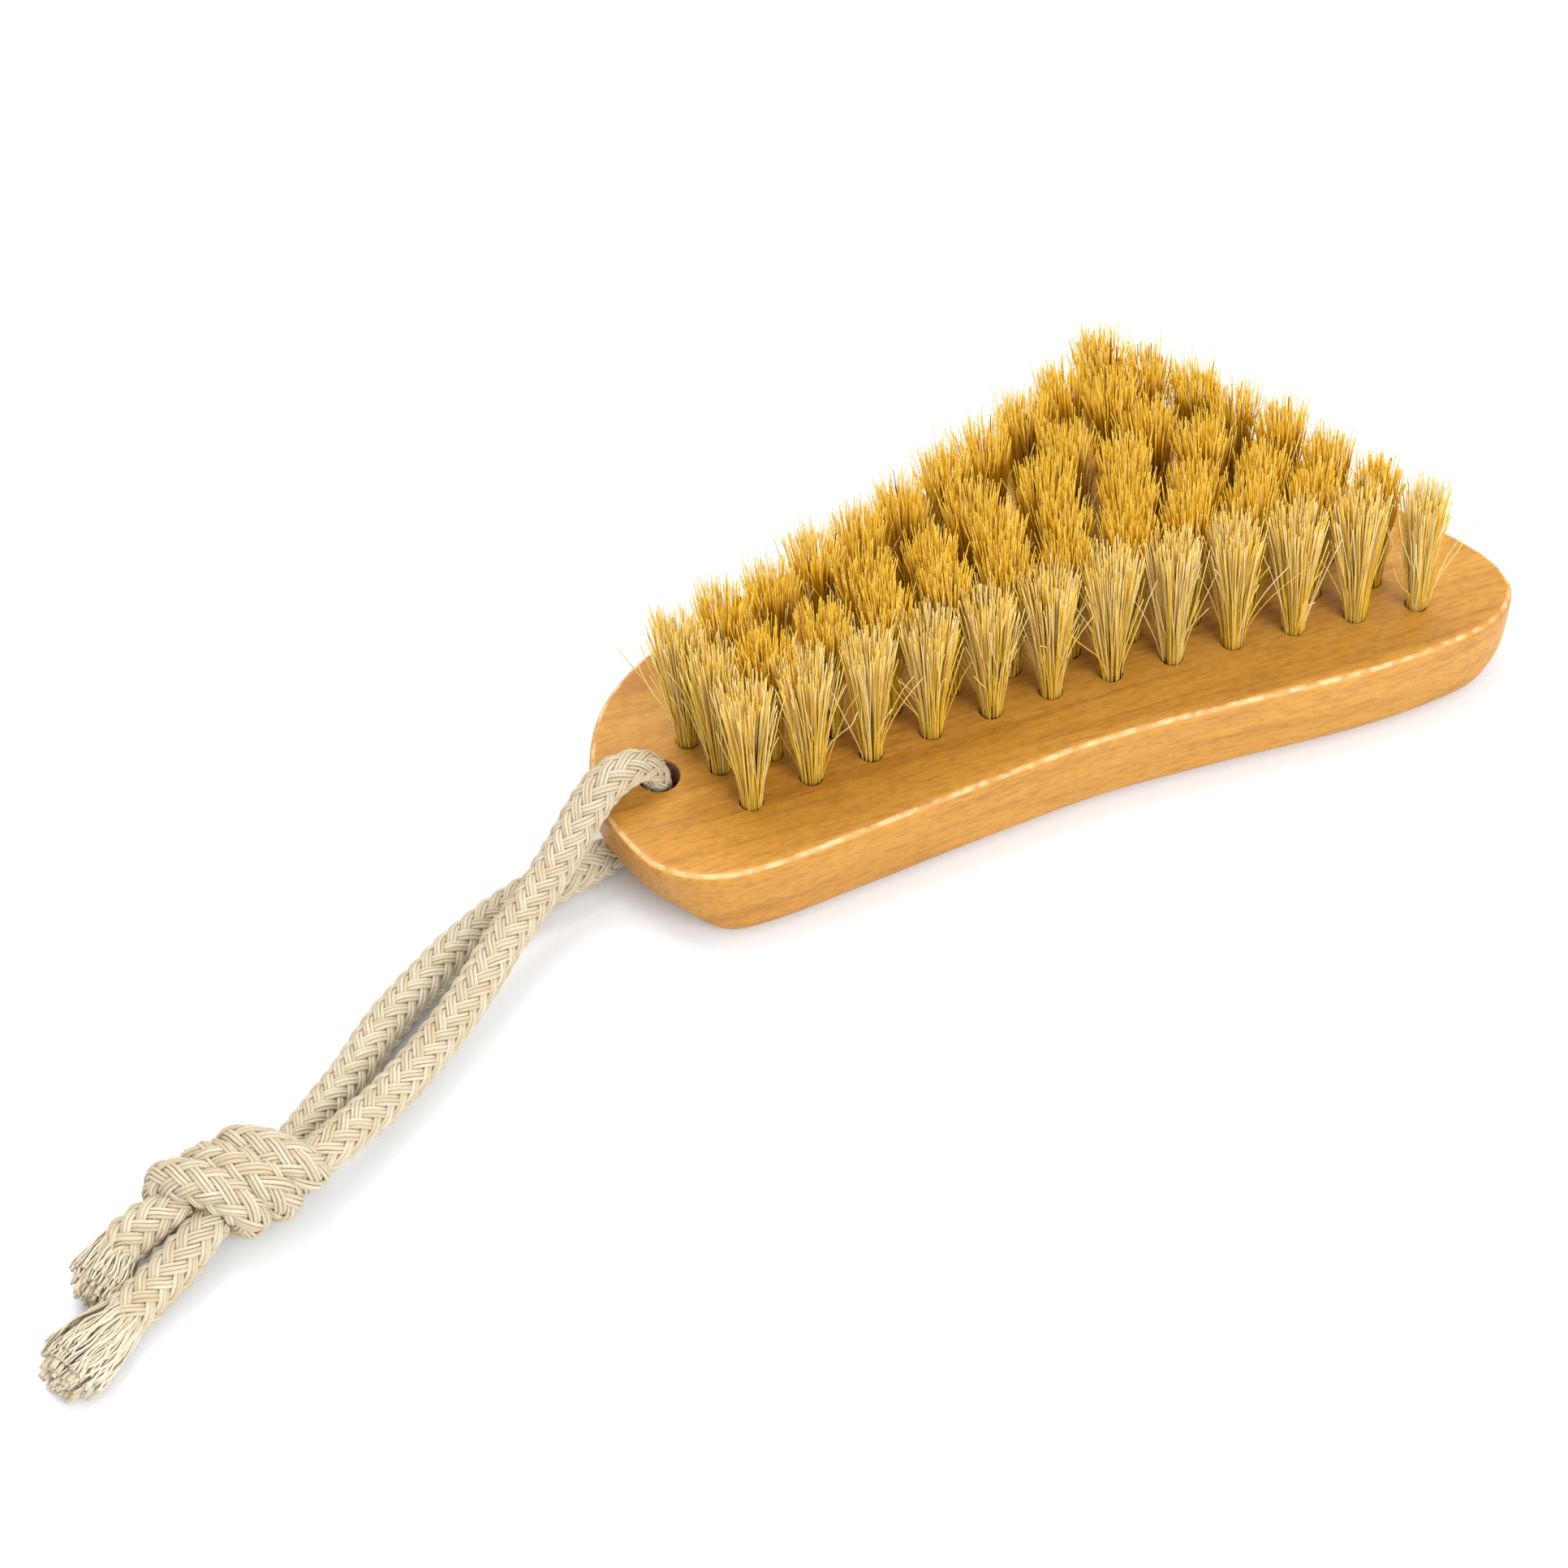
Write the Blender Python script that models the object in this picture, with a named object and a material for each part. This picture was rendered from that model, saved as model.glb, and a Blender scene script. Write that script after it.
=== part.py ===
"""Hand-held body dry brush: a shaped wooden block, tufts of bristle and a knotted hanging cord.

Frame: metres, +Z up with the bristles, +X along the block away from the cord.
The block lies on its flat back at z = 0 and the origin is under the middle of its outline.
Outline, tuft and cord positions are written in millimetres.
"""
import math

import bmesh
import bpy
from mathutils import Matrix, Vector

MM = 0.001

BLOCK_THICKNESS = 13.2
TOP_EDGE_RADIUS = 1.2
TOP_EDGE_STEPS = 3
BACK_EDGE_RADIUS = 3.0
BACK_EDGE_STEPS = 4
OUTLINE_STEPS = 4

# Middle of the outline below, in the coordinates it is written in.
OUTLINE_CENTRE = (0.34, 14.03)

# Foot-shaped outline, anticlockwise from the heel where the cord is tied.
OUTLINE = (
    (-64.6, 1.5), (-63.9, -5.0), (-61.3, -11.9), (-55.5, -16.3), (-47.0, -17.4),
    (-33.0, -16.2), (-16.0, -14.5), (2.0, -13.2), (20.0, -13.8), (38.0, -14.8),
    (50.0, -14.4), (59.6, -12.6), (64.6, -8.3), (65.0, -2.5), (61.6, 4.8),
    (54.0, 17.0), (46.0, 29.5), (38.5, 39.3), (30.0, 44.8), (20.0, 44.9),
    (5.0, 40.6), (-14.0, 34.5), (-32.0, 29.3), (-42.0, 26.4), (-51.0, 22.6),
    (-58.5, 16.6), (-62.8, 9.2),
)

# The back is swept up under the heel to make room for the cord, and a little under the toe.
HEEL_SWEEP_START = -51.0
HEEL_SWEEP_END = -63.0
HEEL_SWEEP_LENGTH = 15.0
HEEL_SWEEP_RISE = 8.0
TOE_SWEEP_START = 56.0
TOE_SWEEP_END = 65.0
TOE_SWEEP_LENGTH = 6.5
TOE_SWEEP_RISE = 7.0

# Each row of tufts: how many, the first and last tuft, and how far the row bows in y.
TUFT_ROWS = (
    (12, (-45.8, -6.3), (51.1, -5.9), 3.5),
    (1, (-47.5, 0.8), (-47.5, 0.8), 0.0),
    (11, (-40.4, 0.6), (47.3, 0.3), 2.6),
    (8, (-23.2, 7.8), (43.4, 6.6), 1.0),
    (5, (-5.6, 13.6), (39.8, 12.9), 0.8),
    (3, (11.0, 19.4), (35.4, 18.9), 0.6),
    (2, (20.6, 25.4), (32.0, 23.6), 0.0),
    (1, (27.3, 28.6), (27.3, 28.6), 0.0),
    (11, (-49.9, 6.6), (22.4, 32.8), -2.0),
)
TUFT_HEIGHT = 24.0
TUFT_ROOT_DEPTH = 7.2
TUFT_ROOT_RADIUS = 0.99
TUFT_TIP_RADIUS = 2.45
TUFT_TIP_CHAMFER = 0.5
TUFT_SIDES = 12
TUFT_HOLE_RADIUS = 1.6
TUFT_HOLE_DEPTH = 7.5

# The tufts fan out in y and lean back in x; the lean is sideways travel over the tuft height.
LEAN_CENTRE = (-146.0, 8.0)
LEAN_RATE = (-0.014, 0.08)

CORD_HOLE_CENTRE = (-55.6, 2.2)
CORD_HOLE_RADIUS = 2.7
CORD_HOLE_SIDES = 24

CORD_RADIUS = 2.9
CORD_STEP = 3.0
CORD_BEVEL_RESOLUTION = 3

# Cord routes: x, y, z and the share of the full radius the cord keeps there.
UPPER_STRAND = (
    (-55.85, 2.2, 8.3, 0.72), (-55.85, 2.2, 11.0, 0.72), (-56.05, 2.15, 13.4, 0.72),
    (-57.4, 1.85, 16.2, 0.78), (-60.4, 1.1, 17.6, 0.92), (-63.8, 0.0, 17.1, 1.0),
    (-67.2, -1.6, 14.6, 1.0), (-70.4, -3.6, 11.8, 1.0), (-73.8, -5.9, 9.6, 1.0),
    (-77.7, -8.8, 8.2, 1.0), (-82.2, -12.3, 7.3, 1.0), (-86.4, -16.2, 6.4, 1.0),
    (-92.0, -20.8, 5.5, 1.0), (-97.9, -25.3, 5.2, 1.0), (-103.0, -28.9, 5.4, 1.0),
    (-107.7, -31.9, 6.1, 1.0), (-110.9, -33.9, 6.7, 1.0),
)
LOWER_STRAND = (
    (-55.85, 2.2, 7.9, 0.72), (-55.9, 2.2, 5.6, 0.72), (-56.6, 2.0, 3.4, 0.68),
    (-58.8, 1.5, 2.25, 0.68), (-62.0, 0.6, 2.4, 0.8), (-66.0, -0.6, 2.95, 1.0),
    (-70.9, -1.9, 2.95, 1.0), (-78.2, -3.6, 2.95, 1.0), (-86.8, -7.6, 2.95, 1.0),
    (-92.3, -11.1, 2.95, 1.0), (-97.6, -14.7, 2.95, 1.0), (-101.6, -18.1, 2.95, 1.0),
    (-105.2, -21.7, 2.95, 1.0), (-109.4, -25.4, 3.3, 1.0),
)
SHORT_TAIL = (
    (-137.6, -35.8, 5.1, 1.0), (-139.9, -36.8, 4.2, 1.0), (-142.7, -39.2, 3.3, 1.0),
    (-145.0, -41.8, 2.95, 1.0),
)
LONG_TAIL = (
    (-133.6, -43.2, 4.4, 1.0), (-137.5, -45.2, 3.4, 1.0), (-142.5, -48.4, 2.95, 1.0),
    (-149.0, -52.8, 2.95, 1.0),
)

KNOT_CENTRE = (-124.4, -35.4, 6.5)
KNOT_HALF_SIZE = (12.2, 7.0, 6.3)
KNOT_HEADING = math.radians(191.5)
KNOT_SQUARENESS = 2.5
KNOT_TURNS = 3
KNOT_WRAP_DEPTH = 0.05
KNOT_SEGMENTS = 24
KNOT_RINGS = 14

COLLECTION_NAME = "body_dry_brush"


def clear_scene():
    for obj in list(bpy.data.objects):
        bpy.data.objects.remove(obj, do_unlink=True)


def make_collection(name):
    collection = bpy.data.collections.new(name)
    bpy.context.scene.collection.children.link(collection)
    return collection


def make_material(name, colour, roughness):
    material = bpy.data.materials.new(name)
    material.use_nodes = True
    shader = material.node_tree.nodes["Principled BSDF"]
    shader.inputs["Base Color"].default_value = (*colour, 1.0)
    shader.inputs["Roughness"].default_value = roughness
    shader.inputs["Metallic"].default_value = 0.0
    return material


def place(x, y, z=0.0):
    """Written millimetres to metres about the middle of the block."""
    return Vector(((x - OUTLINE_CENTRE[0]) * MM, (y - OUTLINE_CENTRE[1]) * MM, z * MM))


def object_from_bmesh(name, shape, material, collection):
    mesh = bpy.data.meshes.new(name)
    shape.to_mesh(mesh)
    shape.free()
    if material:
        mesh.materials.append(material)
    obj = bpy.data.objects.new(name, mesh)
    collection.objects.link(obj)
    return obj


def curve_point(before, start, end, after, t):
    """Catmull-Rom point between start and end, for values of any length."""
    result = []
    for a, b, c, d in zip(before, start, end, after):
        cubic = -a + 3.0 * b - 3.0 * c + d
        square = 2.0 * a - 5.0 * b + 4.0 * c - d
        result.append(0.5 * (2.0 * b + (c - a) * t + square * t * t + cubic * t ** 3))
    return result


def smooth_outline():
    count = len(OUTLINE)
    points = []
    for i in range(count):
        span = [OUTLINE[(i + k) % count] for k in (-1, 0, 1, 2)]
        for step in range(OUTLINE_STEPS):
            points.append(curve_point(*span, step / OUTLINE_STEPS))
    return points


def outward_normals(points):
    normals = []
    for i, point in enumerate(points):
        before = points[i - 1]
        after = points[(i + 1) % len(points)]
        tangent = Vector((after[0] - before[0], after[1] - before[1])).normalized()
        normals.append((tangent.y, -tangent.x))
    return normals


def ramp(value, start, end):
    """0 before start, 1 past end, with soft ends."""
    t = min(1.0, max(0.0, (value - start) / (end - start)))
    return t * t * (3.0 - 2.0 * t)


def back_edge(x):
    """How far in and how high the back edge is rounded at this x, and how full the curve is."""
    heel = ramp(x, HEEL_SWEEP_START, HEEL_SWEEP_END)
    toe = ramp(x, TOE_SWEEP_START, TOE_SWEEP_END)
    inset = BACK_EDGE_RADIUS
    inset += heel * (HEEL_SWEEP_LENGTH - BACK_EDGE_RADIUS)
    inset += toe * (TOE_SWEEP_LENGTH - BACK_EDGE_RADIUS)
    rise = BACK_EDGE_RADIUS
    rise += heel * (HEEL_SWEEP_RISE - BACK_EDGE_RADIUS)
    rise += toe * (TOE_SWEEP_RISE - BACK_EDGE_RADIUS)
    fullness = 2.0 - heel
    return inset, rise, fullness


def block_rings():
    """Closed rings of points from the top face down to the back."""
    outline = smooth_outline()
    normals = outward_normals(outline)
    rings = []
    for step in range(TOP_EDGE_STEPS + 1):
        angle = math.radians(90.0 * (1.0 - step / TOP_EDGE_STEPS))
        inset = TOP_EDGE_RADIUS * (1.0 - math.cos(angle))
        z = BLOCK_THICKNESS - TOP_EDGE_RADIUS * (1.0 - math.sin(angle))
        rings.append([place(p[0] - n[0] * inset, p[1] - n[1] * inset, z)
                      for p, n in zip(outline, normals)])
    for step in range(BACK_EDGE_STEPS + 1):
        angle = math.radians(90.0 * step / BACK_EDGE_STEPS)
        ring = []
        for p, n in zip(outline, normals):
            reach, rise, fullness = back_edge(p[0])
            inset = reach * (1.0 - max(0.0, math.cos(angle)) ** (2.0 / fullness))
            z = rise * (1.0 - math.sin(angle) ** (2.0 / fullness))
            ring.append(place(p[0] - n[0] * inset, p[1] - n[1] * inset, z))
        rings.append(ring)
    return rings


def loft(rings):
    """Closed body through the rings, given from top to bottom and anticlockwise."""
    shape = bmesh.new()
    loops = [[shape.verts.new(point) for point in ring] for ring in rings]
    count = len(rings[0])
    for upper, lower in zip(loops, loops[1:]):
        for i in range(count):
            j = (i + 1) % count
            shape.faces.new((upper[i], lower[i], lower[j], upper[j]))
    shape.faces.new(loops[0])
    shape.faces.new(list(reversed(loops[-1])))
    shape.normal_update()
    return shape


def tuft_positions():
    positions = []
    for count, first, last, bow in TUFT_ROWS:
        for i in range(count):
            t = i / max(1, count - 1)
            x = first[0] + (last[0] - first[0]) * t
            y = first[1] + (last[1] - first[1]) * t + bow * 4.0 * t * (1.0 - t)
            positions.append((x, y))
    return positions


def tuft_frame(x, y):
    """Matrix at the mouth of a tuft hole with +Z along the leaning tuft."""
    lean_x = (x - LEAN_CENTRE[0]) * LEAN_RATE[0]
    lean_y = (y - LEAN_CENTRE[1]) * LEAN_RATE[1]
    axis = Vector((lean_x, lean_y, TUFT_HEIGHT))
    turn = axis.to_track_quat("Z", "Y").to_matrix().to_4x4()
    return Matrix.Translation(place(x, y, BLOCK_THICKNESS)) @ turn


def tuft_mesh(material):
    """Bundle of bristles, from the folded root in its hole to the trimmed tip."""
    length = (TUFT_HEIGHT + TUFT_ROOT_DEPTH) * MM
    middle = (TUFT_HEIGHT - TUFT_ROOT_DEPTH) / 2.0 * MM
    shape = bmesh.new()
    bmesh.ops.create_cone(
        shape, cap_ends=True, segments=TUFT_SIDES, radius1=TUFT_ROOT_RADIUS * MM,
        radius2=TUFT_TIP_RADIUS * MM, depth=length, matrix=Matrix.Translation((0, 0, middle)))
    rim = [e for e in shape.edges if min(v.co.z for v in e.verts) > middle]
    bmesh.ops.bevel(shape, geom=rim, offset=TUFT_TIP_CHAMFER * MM, segments=1, affect="EDGES")
    mesh = bpy.data.meshes.new("bristle_tuft")
    shape.to_mesh(mesh)
    shape.free()
    mesh.materials.append(material)
    return mesh


def tuft_hole_cutter(positions, collection):
    shape = bmesh.new()
    depth = 2.0 * TUFT_HOLE_DEPTH * MM
    for x, y in positions:
        bmesh.ops.create_cone(
            shape, cap_ends=True, segments=TUFT_SIDES, radius1=TUFT_HOLE_RADIUS * MM,
            radius2=TUFT_HOLE_RADIUS * MM, depth=depth, matrix=tuft_frame(x, y))
    return object_from_bmesh("tuft_hole_cutter", shape, None, collection)


def cord_hole_cutter(collection):
    shape = bmesh.new()
    bmesh.ops.create_cone(
        shape, cap_ends=True, segments=CORD_HOLE_SIDES, radius1=CORD_HOLE_RADIUS * MM,
        radius2=CORD_HOLE_RADIUS * MM, depth=4.0 * BLOCK_THICKNESS * MM,
        matrix=Matrix.Translation(place(*CORD_HOLE_CENTRE)))
    return object_from_bmesh("cord_hole_cutter", shape, None, collection)


def cut(target, cutter):
    cutter.hide_render = True
    cutter.display_type = "WIRE"
    modifier = target.modifiers.new(cutter.name, "BOOLEAN")
    modifier.operation = "DIFFERENCE"
    modifier.solver = "EXACT"
    modifier.object = cutter


def cord_points(route):
    """Evenly spaced positions and radius shares along a smooth line through the route."""
    points = []
    for i in range(len(route) - 1):
        span = [route[max(0, i - 1)], route[i], route[i + 1], route[min(len(route) - 1, i + 2)]]
        reach = math.dist(route[i][:3], route[i + 1][:3])
        steps = max(1, round(reach / CORD_STEP))
        points += [curve_point(*span, step / steps) for step in range(steps)]
    points.append(list(route[-1]))
    return points


def make_cord(name, route, material, collection):
    points = cord_points(route)
    curve = bpy.data.curves.new(name, "CURVE")
    curve.dimensions = "3D"
    curve.bevel_depth = CORD_RADIUS * MM
    curve.bevel_resolution = CORD_BEVEL_RESOLUTION
    curve.use_fill_caps = True
    spline = curve.splines.new("POLY")
    spline.points.add(len(points) - 1)
    for target, (x, y, z, share) in zip(spline.points, points):
        target.co = (*place(x, y, z), 1.0)
        target.radius = share
    curve.materials.append(material)
    obj = bpy.data.objects.new(name, curve)
    collection.objects.link(obj)
    return obj


def make_knot(material, collection):
    """Blunt body of the overhand knot with the ridges of its wraps."""
    shape = bmesh.new()
    bmesh.ops.create_uvsphere(
        shape, u_segments=KNOT_SEGMENTS, v_segments=KNOT_RINGS, radius=1.0,
        matrix=Matrix.Rotation(math.pi / 2.0, 4, "Y"))
    for vertex in shape.verts:
        x, y, z = vertex.co
        total = sum(abs(value) ** KNOT_SQUARENESS for value in (x, y, z))
        around = math.atan2(z, y)
        ridge = math.cos(KNOT_TURNS * math.pi * x + around)
        waist = math.hypot(y, z)
        scale = total ** (-1.0 / KNOT_SQUARENESS) * (1.0 - KNOT_WRAP_DEPTH * waist * (1.0 - ridge))
        vertex.co = Vector((x * KNOT_HALF_SIZE[0], y * KNOT_HALF_SIZE[1],
                            z * KNOT_HALF_SIZE[2])) * scale * MM
    turn = Matrix.Translation(place(*KNOT_CENTRE)) @ Matrix.Rotation(KNOT_HEADING, 4, "Z")
    bmesh.ops.transform(shape, matrix=turn, verts=shape.verts)
    return object_from_bmesh("cord_knot", shape, material, collection)


def main():
    clear_scene()
    parts = make_collection(COLLECTION_NAME)
    cutters = make_collection("cutters")
    wood = make_material("honey_wood", (0.72, 0.43, 0.19), 0.5)
    bristle = make_material("natural_bristle", (0.80, 0.58, 0.24), 0.6)
    cotton = make_material("cotton_cord", (0.82, 0.74, 0.60), 0.9)

    positions = tuft_positions()
    block = object_from_bmesh("wooden_block", loft(block_rings()), wood, parts)
    cut(block, tuft_hole_cutter(positions, cutters))
    cut(block, cord_hole_cutter(cutters))

    mesh = tuft_mesh(bristle)
    for number, (x, y) in enumerate(positions, start=1):
        tuft = bpy.data.objects.new(f"bristle_tuft_{number:02d}", mesh)
        tuft.matrix_world = tuft_frame(x, y)
        parts.objects.link(tuft)

    make_cord("cord_upper_strand", UPPER_STRAND, cotton, parts)
    make_cord("cord_lower_strand", LOWER_STRAND, cotton, parts)
    make_cord("cord_short_tail", SHORT_TAIL, cotton, parts)
    make_cord("cord_long_tail", LONG_TAIL, cotton, parts)
    make_knot(cotton, parts)


main()
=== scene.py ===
"""Body dry brush: varnished wood block, tufts of separate bristles and a braided, knotted cord."""

import math
import random

import bmesh
import bpy
from mathutils import Matrix, Vector


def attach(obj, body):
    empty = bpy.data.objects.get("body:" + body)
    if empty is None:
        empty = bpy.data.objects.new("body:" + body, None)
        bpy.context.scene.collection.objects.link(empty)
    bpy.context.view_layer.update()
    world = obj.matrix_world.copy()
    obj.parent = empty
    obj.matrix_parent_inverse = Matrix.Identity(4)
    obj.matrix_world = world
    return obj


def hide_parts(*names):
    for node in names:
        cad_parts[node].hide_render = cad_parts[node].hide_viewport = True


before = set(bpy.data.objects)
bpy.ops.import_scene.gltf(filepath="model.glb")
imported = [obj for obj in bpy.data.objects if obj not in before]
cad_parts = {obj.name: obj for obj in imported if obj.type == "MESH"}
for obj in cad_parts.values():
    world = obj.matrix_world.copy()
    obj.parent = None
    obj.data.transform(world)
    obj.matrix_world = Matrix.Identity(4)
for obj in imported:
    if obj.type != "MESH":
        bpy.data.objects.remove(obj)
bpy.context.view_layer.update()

MM = 0.001

# The block, as drawn in millimetres about OUTLINE_CENTRE.
THICKNESS = 13.2
OUTLINE_CENTRE = (0.34, 14.03)
OUTLINE = (
    (-64.6, 1.5), (-63.9, -5.0), (-61.3, -11.9), (-55.5, -16.3), (-47.0, -17.4),
    (-33.0, -16.2), (-16.0, -14.5), (2.0, -13.2), (20.0, -13.8), (38.0, -14.8),
    (50.0, -14.4), (59.6, -12.6), (64.6, -8.3), (65.0, -2.5), (61.6, 4.8),
    (54.0, 17.0), (46.0, 29.5), (38.5, 39.3), (30.0, 44.8), (20.0, 44.9),
    (5.0, 40.6), (-14.0, 34.5), (-32.0, 29.3), (-42.0, 26.4), (-51.0, 22.6),
    (-58.5, 16.6), (-62.8, 9.2),
)
OUTLINE_STEPS = 10
TOP_EDGE_RADIUS = 1.2
TOP_EDGE_STEPS = 6
BACK_EDGE_RADIUS = 3.0
BACK_EDGE_STEPS = 8
HEEL_SWEEP = {"start": -51.0, "end": -63.0, "length": 15.0, "rise": 8.0}
TOE_SWEEP = {"start": 56.0, "end": 65.0, "length": 6.5, "rise": 7.0}

CORD_HOLE_CENTRE = (-55.6, 2.2)
CORD_HOLE_RADIUS = 2.7
CORD_HOLE_FLARE = 0.35
TUFT_HOLE_RADIUS = 1.6
TUFT_HOLE_FLARE = 0.05
TUFT_HOLE_DEPTH = 7.5

# Tufts: count, first, last and bow of each row.
TUFT_ROWS = (
    (12, (-45.8, -6.3), (51.1, -5.9), 3.5),
    (1, (-47.5, 0.8), (-47.5, 0.8), 0.0),
    (11, (-40.4, 0.6), (47.3, 0.3), 2.6),
    (8, (-23.2, 7.8), (43.4, 6.6), 1.0),
    (5, (-5.6, 13.6), (39.8, 12.9), 0.8),
    (3, (11.0, 19.4), (35.4, 18.9), 0.6),
    (2, (20.6, 25.4), (32.0, 23.6), 0.0),
    (1, (27.3, 28.6), (27.3, 28.6), 0.0),
    (11, (-49.9, 6.6), (22.4, 32.8), -2.0),
)
TUFT_HEIGHT = 24.0
LEAN_CENTRE = (-146.0, 8.0)
LEAN_RATE = (-0.014, 0.08)
BRISTLES_PER_TUFT = 260
BRISTLE_ROOT_DEPTH = 2.5
BRISTLE_RADIUS = 0.105
BRISTLE_TIP_SHARE = 0.55
BRISTLE_SIDES = 3
BRISTLE_SEGMENTS = 6
BUNDLE_RADIUS = 1.47
SPREAD = 2.2
STRAY_SHARE = 0.1
TIP_RAGGEDNESS = 0.75
TRIM_VARIATION = 1.3
WANDER = 0.6
STRAY_WANDER = 1.1
CURL = 0.28
STRAY_CURL = 0.6

# Tufts nearer the front than FRONT_LIMIT or nearer the heel than HEEL_LIMIT are given a paler tone as
# painted light, for the front light falling on them.
FRONT_LIMIT = -2.0
HEEL_LIMIT = -44.0
FRONT_PAINTED_LIGHT = 0.24
DARK_SHARE = 0.012

# Cord routes: x, y, z and the share of the full radius kept there.
CORD_RADIUS = 2.9
UPPER_STRAND = (
    (-55.85, 2.2, 8.3, 0.72), (-55.85, 2.2, 11.0, 0.72), (-56.05, 2.15, 13.4, 0.72),
    (-57.4, 1.85, 16.2, 0.78), (-60.4, 1.1, 17.6, 0.92), (-63.8, 0.0, 17.1, 1.0),
    (-67.2, -1.6, 14.6, 1.0), (-70.4, -3.6, 11.8, 1.0), (-73.8, -5.9, 9.6, 1.0),
    (-77.7, -8.8, 8.2, 1.0), (-82.2, -12.3, 7.3, 1.0), (-86.4, -16.2, 6.4, 1.0),
    (-92.0, -20.8, 5.5, 1.0), (-97.9, -25.3, 5.2, 1.0), (-103.0, -28.9, 5.4, 1.0),
    (-107.7, -31.9, 6.1, 1.0), (-110.9, -33.9, 6.7, 1.0), (-114.2, -35.2, 6.9, 0.95),
    (-118.0, -35.6, 6.6, 0.85),
)
LOWER_STRAND = (
    (-55.85, 2.2, 7.9, 0.72), (-55.9, 2.2, 5.6, 0.72), (-56.6, 2.0, 3.4, 0.68),
    (-58.8, 1.5, 2.25, 0.68), (-62.0, 0.6, 2.4, 0.8), (-66.0, -0.6, 2.95, 1.0),
    (-70.9, -1.9, 2.95, 1.0), (-78.2, -3.6, 2.95, 1.0), (-86.8, -7.6, 2.95, 1.0),
    (-92.3, -11.1, 2.95, 1.0), (-97.6, -14.7, 2.95, 1.0), (-101.6, -18.1, 2.95, 1.0),
    (-105.2, -21.7, 2.95, 1.0), (-109.4, -25.4, 3.3, 1.0), (-113.6, -29.2, 4.3, 0.95),
    (-117.4, -32.6, 5.6, 0.85),
)
SHORT_TAIL = (
    (-130.0, -35.8, 7.0, 0.8), (-133.6, -36.2, 6.4, 1.0), (-137.0, -37.0, 5.3, 1.08),
    (-139.8, -38.2, 4.4, 1.1), (-142.4, -40.6, 3.7, 1.1), (-144.9, -43.4, 3.4, 1.1),
)
LONG_TAIL = (
    (-127.5, -38.6, 5.8, 0.9), (-130.6, -40.7, 5.2, 1.0), (-133.6, -42.6, 4.4, 1.05),
    (-137.5, -44.6, 3.6, 1.08), (-142.5, -47.5, 3.3, 1.12), (-147.2, -50.3, 3.4, 1.2),
    (-151.8, -53.2, 3.6, 1.2),
)
KNOT_CENTRE = (-123.7, -35.3, 6.5)
KNOT_HEADING = math.radians(191.5)
KNOT_TURNS = 2.9
KNOT_START = -60.0
KNOT_LENGTH = 12.8
KNOT_TILT = 2.5
KNOT_WRAP_RADIUS = (4.2, 3.5)
KNOT_FILL_RADIUS = 4.6
KNOT_STEPS = 40

# Braid: two sets of yarn bundles wound opposite ways, each passing over two and under two.
BRAID_PITCH = 20.0
CARRIERS = 8
YARNS_PER_CARRIER = 3
YARN_RADIUS = 0.27
YARN_GAP = 0.44
BRAID_WAVE = 0.31
BRAID_STEP = 0.55
YARN_SIDES = 5
CORE_SHARE = 0.72
# The core's dark tone is painted shade in the gaps between the braided yarns.
CORE_PAINTED_SHADE_TONE = 0.06
LOOSE_FIBRE_RADIUS = 0.19
TAIL_BUSHINESS = 0.48
SHORT_TAIL_FRAY = {"fray": 9.0, "cut": 1.2, "count": 260}
LONG_TAIL_FRAY = {"fray": 14.0, "cut": 1.6, "count": 430}

# Studio: light positions and sizes in metres, powers in watts.
FLOOR_COLOUR = (0.74, 0.75, 0.77)
FLOOR_HALF_SIZE = 3.0
FLOOR_DROP = 0.00005
SKY_STRENGTH = 1.2
KEY_LIGHT = {"location": (-0.2, 0.5, 1.35), "size": 0.8, "power": 10.5}
FRONT_FILL = {"location": (0.4, -1.2, 0.85), "size": 0.9, "power": 17.5}
LIGHT_TARGET = (0.0, 0.0, 0.02)

# View.
CAMERA_ELEVATION = math.radians(50.0)
CAMERA_AZIMUTH = math.radians(-21.0)
CAMERA_TARGET = (-40.81, -5.005, 13.2)
CAMERA_DISTANCE = 476.7
CAMERA_LENS_MM = 83.85

rng = random.Random(7)


def place(x, y, z=0.0):
    return Vector(((x - OUTLINE_CENTRE[0]) * MM, (y - OUTLINE_CENTRE[1]) * MM, z * MM))


def spline_point(before, start, end, after, t):
    result = []
    for a, b, c, d in zip(before, start, end, after):
        cubic = -a + 3.0 * b - 3.0 * c + d
        square = 2.0 * a - 5.0 * b + 4.0 * c - d
        result.append(0.5 * (2.0 * b + (c - a) * t + square * t * t + cubic * t ** 3))
    return result


def link(name, mesh, material):
    mesh.materials.append(material)
    obj = bpy.data.objects.new(name, mesh)
    bpy.context.scene.collection.objects.link(obj)
    for polygon in mesh.polygons:
        polygon.use_smooth = True
    return obj


def stand_for(obj, node):
    """Show the piece in place of its CAD node, on the one body."""
    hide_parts(node)
    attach(obj, "root")


# ---------------------------------------------------------------- materials

def new_material(name):
    material = bpy.data.materials.new(name)
    material.use_nodes = True
    tree = material.node_tree
    return material, tree, tree.nodes["Principled BSDF"]


def add(tree, kind, **values):
    node = tree.nodes.new(kind)
    for key, value in values.items():
        if key in node.inputs:
            node.inputs[key].default_value = value
        else:
            setattr(node, key, value)
    return node


def colour_ramp(tree, source, stops):
    node = tree.nodes.new("ShaderNodeValToRGB")
    elements = node.color_ramp.elements
    for index, (position, colour) in enumerate(stops):
        element = elements[index] if index < 2 else elements.new(position)
        element.position = position
        element.color = (*colour, 1.0)
    tree.links.new(source, node.inputs["Fac"])
    return node.outputs["Color"]


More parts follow.
